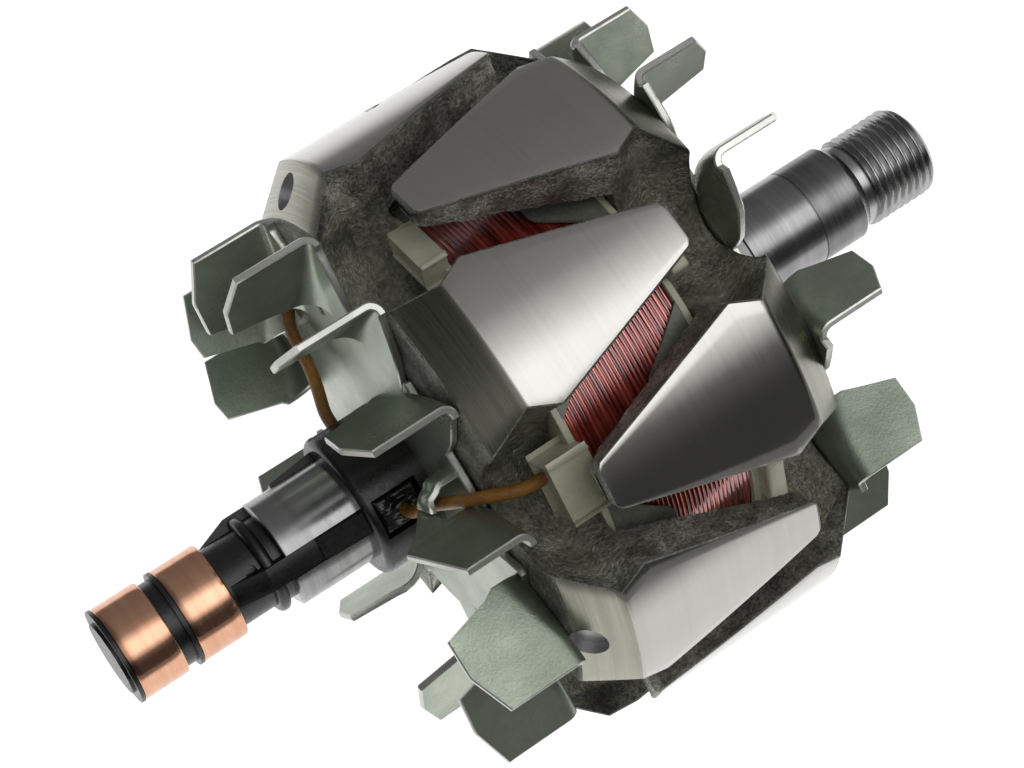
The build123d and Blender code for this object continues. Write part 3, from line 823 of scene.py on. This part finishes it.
# Fans, each blade bent up from its arm, with a bend that widens towards the hub. Blades are given by the turn
# and radius of the outer edge, tops by the distance inwards and the height, and an arm's other edge by the
# share of the blade, its turn and how much further out it lies.
fanSizes = {
    "sheet": 1.3, "outerBend": 1.8, "innerBend": 5.5, "hubBore": 9.6, "discRings": (15.0, 21.0),
    "armSteps": 6, "bendSteps": 7, "riseSteps": 9, "flatSteps": 5, "topStep": 0.9, "leastArm": 0.3,
    "overlap": 1.5, "straightSweep": 5.0, "lift": 0.004, "soften": 0.22, "softenShare": 0.4,
    "discSteps": 120, "sharp": 38.0,
    "buckle": 0.3, "buckleScale": 0.11, "buckleApart": 3.7, "buckleFrom": 4.0,
    "wingStep": 0.75, "wingAcross": 8, "wingShare": 0.93,
    "neckSteps": (12, 8), "crumple": 0.9, "crumpleAside": 0.5, "crumpleScale": 0.45,
    "rear": {
        "discR": 29.5, "sweep": 30.0,
        "tops": [(0, 13.9), (7.2, 16.4), (13.5, 16.1), (16.6, 3.9)],
        "slimTops": [(0, 13.9), (6.9, 16.4), (10.4, 16.0), (13.6, 3.9)],
        "armEdge": [(0.0, 1.5, -0.6), (0.55, 7.0, -11.0), (1.0, 9.0, -17.0)],
        "blades": [
            (-55.5, 46.0), (-30.0, 47.4), (-7.5, 47.4), (16.0, 46.0), (72.5, 49.0), (102.5, 47.3),
            (142.5, 44.0), (183.5, 44.0), (217.0, 46.0),
        ],
        "slim": [(-108.0, 43.0), (-83.0, 44.5)],
        "straight": [(42.5, 47.0)], "straightTops": [(0, 11.2), (14.1, 14.8), (16.6, 12.4)],
        "wing": [(15.0, 5.2, 13.7), (17.4, 6.5, 11.6), (20.5, 6.9, 9.9), (24.0, 7.5, 7.9)],
        "neck": [
            (38.4, 27.5, 6.9, 36.9, 23.6, 7.7), (34.4, 27.3, 6.2, 33.6, 22.6, 6.4),
            (31.8, 27.0, 3.6, 31.0, 21.6, 3.9), (31.6, 26.5, 0.6, 30.4, 20.6, 0.6),
        ],
    },
    "front": {
        "discR": 33.0, "sweep": 22.0,
        "tops": [(0, 12.0), (5.2, 14.6), (10.5, 14.8), (13.5, 6.0)],
        "armEdge": [(0.0, 4.2, 0.0), (0.35, 11.0, -4.5), (0.7, 15.0, -10.5), (1.0, 16.0, -15.4)],
        "blades": [
            (-66.7, 46.3), (-42.0, 47.5), (-19.0, 48.6), (4.0, 48.8), (40.7, 48.0), (77.6, 47.7),
            (113.0, 48.0), (141.0, 47.5), (172.0, 48.0), (196.0, 47.5), (226.0, 48.0), (260.0, 47.0),
        ],
    },
}


def spun(x, y, z, turn):
    angle = math.radians(turn)
    return Vector((x, y * math.cos(angle) - z * math.sin(angle), y * math.sin(angle) + z * math.cos(angle)))


def bladeGrid(side, faceX, own, turn, radius, sweep, tops, lift, innerBend):
    # The middle surface of one blade in rows from the outer edge inwards, and that of its arm on to the disc.
    f = fanSizes
    swept = math.radians(sweep)
    inward = Vector((math.sin(swept), -math.cos(swept)))
    aside = Vector((-math.cos(swept), -math.sin(swept)))
    half = f["sheet"] / 2
    places = set(u for u, top in tops)
    for (first, _), (second, _) in zip(tops, tops[1:]):
        places.update(steps(first, second, f["topStep"]))
    places = sorted(places)
    flatSteps = f["flatSteps"]
    shares = [(u, None) for u in places] + [(places[-2], 0.0)]
    shares += [(places[-1], number / flatSteps) for number in range(flatSteps + 1)]
    rows, arm = [], []
    for u, beyond in shares:
        share = u / tops[-1][0]
        bend = f["outerBend"] + (innerBend - f["outerBend"]) * share ** 2
        foot = Vector((0.0, radius)) + inward * u + aside * (half + bend)
        edgeTurn = math.radians(blend([(a, b) for a, b, c in own["armEdge"]], share))
        reach = radius + blend([(a, c) for a, b, c in own["armEdge"]], share)
        edge = Vector((-reach * math.sin(edgeTurn), reach * math.cos(edgeTurn)))
        if (edge - foot).dot(aside) < f["leastArm"]:
            edge = foot + aside * f["leastArm"]
        ridge = Vector((0.0, radius)) + inward * u + aside * half
        section = []
        for number in range(f["armSteps"]):
            section.append((0.0, edge.lerp(foot, number / f["armSteps"])))
        for number in range(f["bendSteps"]):
            angle = math.pi / 2 * number / f["bendSteps"]
            section.append((bend * (1 - math.cos(angle)), ridge + aside * bend * (1 - math.sin(angle))))
        rise = max(0.0, blend(tops, u) - half - bend)
        for number in range(f["riseSteps"] + 1):
            section.append((bend + rise * number / f["riseSteps"], ridge))
        if beyond is not None:
            # The arm's flat end, from under the fold into the disc.
            first, last, count = section[0][1], section[-1][1], len(section)
            section = []
            for number in range(count):
                spot = first.lerp(last, number / (count - 1))
                rim = spot.normalized() * (own["discR"] - f["overlap"])
                section.append((0.0, spot.lerp(rim, beyond)))
        line = [spun(faceX + side * (half + lift + out), spot.x, spot.y, turn) for out, spot in section]
        (rows if beyond is None else arm).append(line)
    return rows, arm


def thicken(rows, points, faces, picks, sheet, soften, facePick, edgePick):
    # Both sides of a middle surface, with a chamfered rim of its own material.
    high, wide = len(rows), len(rows[0])

    def normalAt(row, column):
        a = rows[min(row + 1, high - 1)][column] - rows[max(row - 1, 0)][column]
        b = rows[row][min(column + 1, wide - 1)] - rows[row][max(column - 1, 0)]
        return a.cross(b)

    def inside(row, column):
        r = min(max(row, 1), high - 2)
        c = min(max(column, 1), wide - 2)
        step = rows[r][c] - rows[row][column]
        return step.normalized() * min(soften, step.length * fanSizes["softenShare"]) if step.length else step

    normals = []
    previous = Vector((1.0, 0.0, 0.0))
    for row in range(high):
        line = []
        for column in range(wide):
            normal = normalAt(row, column)
            previous = normal.normalized() if normal.length > 1e-6 else previous
            line.append(previous.copy())
        normals.append(line)
    base = len(points)
    for sign in (1, -1):
        for row in range(high):
            for column in range(wide):
                isRim = row in (0, high - 1) or column in (0, wide - 1)
                spot = rows[row][column] + normals[row][column] * sign * sheet / 2
                points.append(spot + inside(row, column) if isRim else spot)
    below = high * wide
    for row in range(high - 1):
        for column in range(wide - 1):
            a = base + row * wide + column
            faces.append((a, a + wide, a + wide + 1, a + 1))
            faces.append((a + below, a + below + 1, a + below + wide + 1, a + below + wide))
            picks += [facePick, facePick]
    ring = rimOf(high, wide)
    rim = len(points)
    for sign in (1, -1):
        for row, column in ring:
            points.append(rows[row][column] + normals[row][column] * sign * (sheet / 2 - soften))
    count = len(ring)
    for number in range(count):
        after = (number + 1) % count
        a = base + ring[number][0] * wide + ring[number][1]
        b = base + ring[after][0] * wide + ring[after][1]
        faces.append((a, b, rim + after, rim + number))
        faces.append((rim + number, rim + after, rim + count + after, rim + count + number))
        faces.append((rim + count + number, rim + count + after, b + below, a + below))
        picks += [edgePick] * 3


def rimOf(high, wide):
    # The places round the rim of a grid, as (row, column).
    ring = [(0, c) for c in range(wide)] + [(r, wide - 1) for r in range(1, high)]
    return ring + [(high - 1, c) for c in range(wide - 2, -1, -1)] + [(r, 0) for r in range(high - 2, 0, -1)]


def wingGrids(side, faceX, own):
    # The straight blade's overhang, and the crumpled neck from it down to the hub.
    f = fanSizes
    turn, radius = own["straight"][0]
    swept = math.radians(f["straightSweep"])
    wing = []
    for u in steps(own["wing"][0][0], own["wing"][-1][0], f["wingStep"]):
        low = blend([(a, b) for a, b, c in own["wing"]], u)
        high = blend([(a, c) for a, b, c in own["wing"]], u)
        y = math.sin(swept) * u - math.cos(swept) * f["sheet"] / 2
        z = radius - math.cos(swept) * u - math.sin(swept) * f["sheet"] / 2
        outs = [low + (high - low) * number / f["wingAcross"] for number in range(f["wingAcross"] + 1)]
        wing.append([spun(faceX + side * out, y, z, turn) for out in outs])
    neck = []
    rowCount, columnCount = f["neckSteps"]
    stations = [number / (len(own["neck"]) - 1) for number in range(len(own["neck"]))]
    for row in range(rowCount + 1):
        turnA, radiusA, outA, turnB, radiusB, outB = [
            blend(list(zip(stations, column)), row / rowCount) for column in zip(*own["neck"])
        ]
        first = Vector(around(faceX + side * outA, turnA, radiusA))
        last = Vector(around(faceX + side * outB, turnB, radiusB))
        line = []
        for column in range(columnCount + 1):
            spot = first.lerp(last, column / columnCount)
            crumple = noise.noise(spot * f["crumpleScale"]) * f["crumple"] * math.sin(math.pi * row / rowCount)
            line.append(spot + Vector((side * crumple, 0.0, crumple * f["crumpleAside"])))
        neck.append(line)
    return wing, neck


def buckle(rows, seed):
    # The sheet isn't quite flat after pressing. What lies near the disc stays flat.
    f = fanSizes
    scale = f["buckleScale"]
    for row in range(1, len(rows) - 1):
        for column in range(1, len(rows[0]) - 1):
            spot = rows[row][column]
            if abs(spot.x - rows[row][0].x) > f["buckleFrom"]:
                place = (spot.x * scale + seed * f["buckleApart"], spot.y * scale, spot.z * scale)
                spot.x += noise.noise(Vector(place)) * f["buckle"]


def makeFan(which, side, node):
    f, own = fanSizes, fanSizes[which]
    faceX = clawMid + side * poleSizes["face"]
    points, faces, picks = [], [], []
    kinds = [
        (own["blades"], own["sweep"], own["tops"], f["innerBend"]),
        (own.get("slim", []), own["sweep"], own.get("slimTops"), f["innerBend"]),
        (own.get("straight", []), f["straightSweep"], own.get("straightTops"), f["outerBend"]),
    ]
    number = 0  # each blade lies a hair higher, so that no two faces coincide
    for places, sweep, tops, innerBend in kinds:
        for turn, radius in places:
            number += 1
            rows, arm = bladeGrid(side, faceX, own, turn, radius, sweep, tops, f["lift"] * number, innerBend)
            buckle(rows, number)
            for grid, less in ((rows, number + 1), (arm, number + 2)):
                thicken(grid, points, faces, picks, f["sheet"] - 2 * f["lift"] * less, f["soften"], 0, 1)
    if "wing" in own:
        for rows in wingGrids(side, faceX, own):
            thicken(rows, points, faces, picks, f["sheet"] * f["wingShare"], f["soften"], 0, 1)
    far, soften, discR = faceX + side * f["sheet"], side * f["soften"], own["discR"]
    flat = [f["hubBore"], *f["discRings"], discR - f["soften"]]
    disc = [(faceX, radius) for radius in flat]
    disc += [(faceX + soften, discR), (far - soften, discR)]
    disc += [(far, radius) for radius in reversed(flat)]
    addRing(disc, points, faces, picks, f["discSteps"], (3, 4, 5))
    # The second material, on every rim and on the disc's edge, is lighter as a painted highlight.
    piece = makePiece(node + "Pressing", points, faces, ["fanZinc", "fanEdge"], picks)
    tidyNormals(piece)
    sharpen(piece, f["sharp"])
    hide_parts(node)


makeFan("rear", -1, "rear_fan")
makeFan("front", 1, "front_fan")
print("fans made")

# Slip rings
ringSizes = {
    "radius": 8.1, "bore": 7.0, "length": 8.0, "chamfer": 0.35, "lip": 0.1, "lipDrop": 0.14, "track": 2.0,
    "segments": 160, "sharp": 35.0, "starts": {"outer_slip_ring": -125.1, "inner_slip_ring": -114.4},
}


def makeRing(node, start):
    r = ringSizes
    radius, chamfer, end = r["radius"], r["chamfer"], start + r["length"]
    rise = [(0.0, r["bore"]), (0.0, radius - chamfer), (r["lip"], radius - r["lipDrop"])]
    rise += [(chamfer, radius), (r["track"], radius)]
    profile = [(start + x, high) for x, high in rise] + [(end - x, high) for x, high in reversed(rise)]
    piece = lathe(node + "Copper", profile, r["segments"], ["ringCopper"])
    sharpen(piece, r["sharp"])
    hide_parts(node)


for ringNode, ringStart in ringSizes["starts"].items():
    makeRing(ringNode, ringStart)
print("slip rings made")

# Coil bobbin. Blocks are near, far, low, high and half the width; petals are measured from the claws' middle.
bobbinSizes = {
    "core": 22.5, "wall": 1.0, "half": 12.0, "outer": 13.2, "flangeR": 39.2, "round": 0.15,
    "petalR": 38.86, "petal": 0.66, "petalHalves": [(2.0, 4.2), (2.5, 5.4), (12.1, 12.9)],
    "petalTip": [2.0, 2.15, 2.5], "petalRest": (3.5, 12.1, 1.0), "petalAcross": 6,
    "petalLift": 0.25, "petalWave": (0.2, 0.15),
    "tab": (13.0, 16.3, 37.7, 42.1, 4.5), "tabRound": 0.6,
    "post": (13.0, 18.15, 35.9, 42.9, 4.5), "postRound": 0.9, "postTurns": (43.0, -77.0),
    "segments": 180, "sharp": 40.0,
}


def addBlock(side, sizes, turn, edge, points, faces, picks):
    # A block with rounded edges on a flange, its middle at a turn.
    near, far, low, high, halfWidth = sizes
    built = bmesh.new()
    bmesh.ops.create_cube(built, size=1.0)
    for vertex in built.verts:
        vertex.co = Vector((
            clawMid + side * ((near + far) / 2 + vertex.co.x * (far - near)), vertex.co.y * 2 * halfWidth,
            (low + high) / 2 + vertex.co.z * (high - low),
        ))
    bmesh.ops.bevel(built, geom=list(built.edges), offset=edge, segments=3, profile=0.5, affect="EDGES")
    built.verts.index_update()
    base = len(points)
    spin = Matrix.Rotation(math.radians(turn), 3, "X")
    points.extend(tuple(spin @ vertex.co) for vertex in built.verts)
    for face in built.faces:
        faces.append(tuple(base + vertex.index for vertex in face.verts))
        picks.append(0)
    built.free()


def petalRows(side, turn):
    # A leaf over the winding, in rows from its free end to the flange, where it lies close.
    b = bobbinSizes
    root = b["petalRest"][1]
    alongWave, acrossWave = b["petalWave"]
    rows = []
    for s in b["petalTip"] + steps(*b["petalRest"]):
        half = blend(b["petalHalves"], s)
        line = []
        for y in steps(-half, half, half / b["petalAcross"]):
            wave = noise.noise(Vector((s * alongWave, y * acrossWave, turn)))
            lift = b["petalLift"] * wave * (1.0 - s / root)
            off = math.degrees(math.asin(y / b["petalR"]))
            line.append(Vector(around(clawMid + side * s, turn + off, b["petalR"] + max(0.0, lift))))
        rows.append(line)
    return rows


def makeBobbin():
    b = bobbinSizes
    points, faces, picks = [], [], []
    start, end, inner, outer = clawMid - b["outer"], clawMid + b["outer"], b["core"], b["core"] + b["wall"]
    addRing([(start, inner), (end, inner), (end, outer), (start, outer)], points, faces, picks, b["segments"])
    for side in (-1, 1):
        near, far, r, top = clawMid + side * b["half"], clawMid + side * b["outer"], b["round"], b["flangeR"]
        foot = inner + b["wall"] / 2
        flange = [(near, foot), (far, foot), (far, top - r)]
        flange += [(far - side * r, top), (near + side * r, top), (near, top - r)]
        addRing(flange, points, faces, picks, b["segments"])
        for number in range(claws):
            turn = poleSizes["turns"]["rear" if side < 0 else "front"] + clawPitch * number
            # Petals and their rims take the second material, the nylon darkened with painted shade.
            thicken(petalRows(side, turn), points, faces, picks, b["petal"], b["round"], 1, 1)
            tabTurn = turn + clawPitch / 2
            toPost = min(abs((tabTurn - post + 180.0) % 360.0 - 180.0) for post in b["postTurns"])
            if side > 0 or toPost >= clawPitch / 2:
                addBlock(side, b["tab"], tabTurn, b["tabRound"], points, faces, picks)
    for turn in b["postTurns"]:
        addBlock(-1, b["post"], turn, b["postRound"], points, faces, picks)
    piece = makePiece("bobbinMoulding", points, faces, ["bobbinNylon", "petalNylon"], picks)
    tidyNormals(piece)
    sharpen(piece, b["sharp"])
    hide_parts("coil_bobbin")


makeBobbin()
print("bobbin made")

# Resin poured over the lead's end in the collar's pocket. The ranges of a lump are its place across and
# along, its size and its height.
resinSizes = {
    "start": -81.65, "end": -73.75, "turn": 44.5, "half": 16.3, "floor": 9.8, "level": 11.9, "highest": 13.2,
    "grid": 36, "edgeRows": 4, "edgeDrop": 0.5, "acrossPerDegree": 0.42,
    "lumps": 16, "lumpRanges": [(-4.0, 4.0), (0.3, 7.6), (0.7, 1.5), (0.3, 1.1)], "lumpFall": 2.2, "seed": 11,
}


def makeResin():
    r = resinSizes
    random.seed(r["seed"])
    lumps = [[random.uniform(*limits) for limits in r["lumpRanges"]] for _ in range(r["lumps"])]
    points, faces = [], []
    grid, count = r["grid"], r["grid"] + 1
    for layer in (0, 1):
        for row in range(count):
            x = r["start"] + (r["end"] - r["start"]) * row / grid
            for column in range(count):
                off = r["half"] * (2 * column / grid - 1)
                radius = r["floor"]
                if layer:
                    edge = min(1.0, min(row, grid - row, column, grid - column) / r["edgeRows"])
                    radius = r["level"] - r["edgeDrop"] * (1 - edge)
                    for across, along, size, height in lumps:
                        apart = math.hypot(off * r["acrossPerDegree"] - across, x - r["start"] - along) / size
                        radius += height * edge * math.exp(-r["lumpFall"] * apart * apart)
                points.append(around(x, r["turn"] + off, min(radius, r["highest"])))
    below = count * count
    for row in range(grid):
        for column in range(grid):
            a = row * count + column
            faces.append((a, a + 1, a + count + 1, a + count))
            faces.append((below + a, below + a + count, below + a + count + 1, below + a + 1))
    rim = rimOf(count, count)
    for (row, column), (nextRow, nextColumn) in zip(rim, rim[1:] + rim[:1]):
        a, b = row * count + column, nextRow * count + nextColumn
        faces.append((a, b, b + below, a + below))
    piece = makePiece("pouredResin", points, faces, ["beadResin"])
    tidyNormals(piece)
    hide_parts("resin_bead_1")


makeResin()
print("resin poured")

# CAD nodes that keep their shape and get their finish
keptNodes = {
    "pole_core": "forgedIron", "drive_end_spacer": "plainSteel", "slip_ring_carrier": "carrierBlack",
    "outer_ring_conductor": "stripCopper", "inner_ring_conductor": "stripCopper", "resin_bead_2": "beadResin",
    "lead_wire_1": "windingEnamel", "lead_wire_2": "windingEnamel",
    "lead_sleeve_1": "sleeveAmber", "lead_sleeve_2": "sleeveAmber",
}
for nodeName, materialName in keptNodes.items():
    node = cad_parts[nodeName]
    if not node.material_slots:
        node.data.materials.append(materials[materialName])
    for materialSlot in node.material_slots:
        materialSlot.material = materials[materialName]
print("kept nodes finished")

# Floor and light. skyTurns go by the turn about the shaft, skyLengths by the direction along it.
studio = {
    "floorZ": -51.75, "floorHalf": 4000.0, "floorTone": 0.35, "floorRough": 0.9, "floorMiddle": -60.0,
    "glow": 1.0, "glowR": 190.0, "fadeR": 330.0, "glowFar": 0.04, "skyTop": 2.6,
    "skyTurns": [
        (-90, 0.10), (-60, 0.11), (-24, 0.14), (-7, 0.2), (5, 0.55), (15, 1.0), (37, 0.95),
        (45, 0.55), (54, 0.08), (66, 0.03), (90, 0.03),
    ],
    "skyLengths": [(-1.0, 0.2), (-0.35, 0.3), (-0.1, 1.0), (0.55, 1.0), (0.8, 0.3), (1.0, 0.15)],
}


def makeFloor():
    # A light table: it glows round the rotor and fades away from it.
    s = studio
    half, level = s["floorHalf"] * mm, s["floorZ"] * mm
    mesh = bpy.data.meshes.new("paleFloor")
    corners = [(-half, -half, level), (half, -half, level), (half, half, level), (-half, half, level)]
    mesh.from_pydata(corners, [], [(0, 1, 2, 3)])
    material, tree, shader = newMaterial("paleFloor")
    shader.inputs["Base Color"].default_value = (*grey(s["floorTone"]), 1)
    shader.inputs["Roughness"].default_value = s["floorRough"]
    shader.inputs["Specular IOR Level"].default_value = 0.0
    place = addNode(tree, "ShaderNodeTexCoord").outputs["Object"]
    middle = (-s["floorMiddle"] * mm, 0.0, -level)
    shifted = addNode(tree, "ShaderNodeVectorMath", {"operation": "ADD"}, i0=place, i1=middle).outputs[0]
    distance = addNode(tree, "ShaderNodeVectorMath", {"operation": "LENGTH"}, i0=shifted).outputs["Value"]
    glow = remap(tree, distance, s["glowR"] * mm, s["fadeR"] * mm, 1.0, s["glowFar"])
    tree.links.new(ramp(tree, glow, [(0.0, grey(0.0)), (1.0, grey(1.0))]), shader.inputs["Emission Color"])
    shader.inputs["Emission Strength"].default_value = s["glow"]
    mesh.materials.append(material)
    floor = bpy.data.objects.new("paleFloor", mesh)
    scene.collection.objects.link(floor)


def makeSky():
    # Two long soft boxes beside the shaft: brightness by the turn about X, from the top towards -Y.
    world = bpy.data.worlds.new("studio")
    world.use_nodes = True
    scene.world = world
    tree = world.node_tree
    tree.nodes.clear()
    output = tree.nodes.new("ShaderNodeOutputWorld")
    place = addNode(tree, "ShaderNodeTexCoord").outputs["Generated"]
    split = addNode(tree, "ShaderNodeSeparateXYZ", i0=place).outputs
    turn = calc(tree, "ARCTAN2", calc(tree, "MULTIPLY", split["Y"], -1.0), split["Z"])
    share = remap(tree, turn, -math.pi / 2, math.pi / 2, 0.0, 1.0)
    byTurn = ramp(tree, share, [(0.5 + angle / 180.0, grey(level)) for angle, level in studio["skyTurns"]])
    length = remap(tree, split["X"], -1.0, 1.0, 0.0, 1.0)
    byLength = ramp(tree, length, [(0.5 + x / 2, grey(level)) for x, level in studio["skyLengths"]])
    strength = calc(tree, "MULTIPLY", calc(tree, "MULTIPLY", byTurn, byLength), studio["skyTop"])
    light = addNode(tree, "ShaderNodeBackground", Strength=strength)
    tree.links.new(light.outputs[0], output.inputs[0])


makeFloor()
makeSky()
scene.view_settings.view_transform = "Standard"
print("studio set")
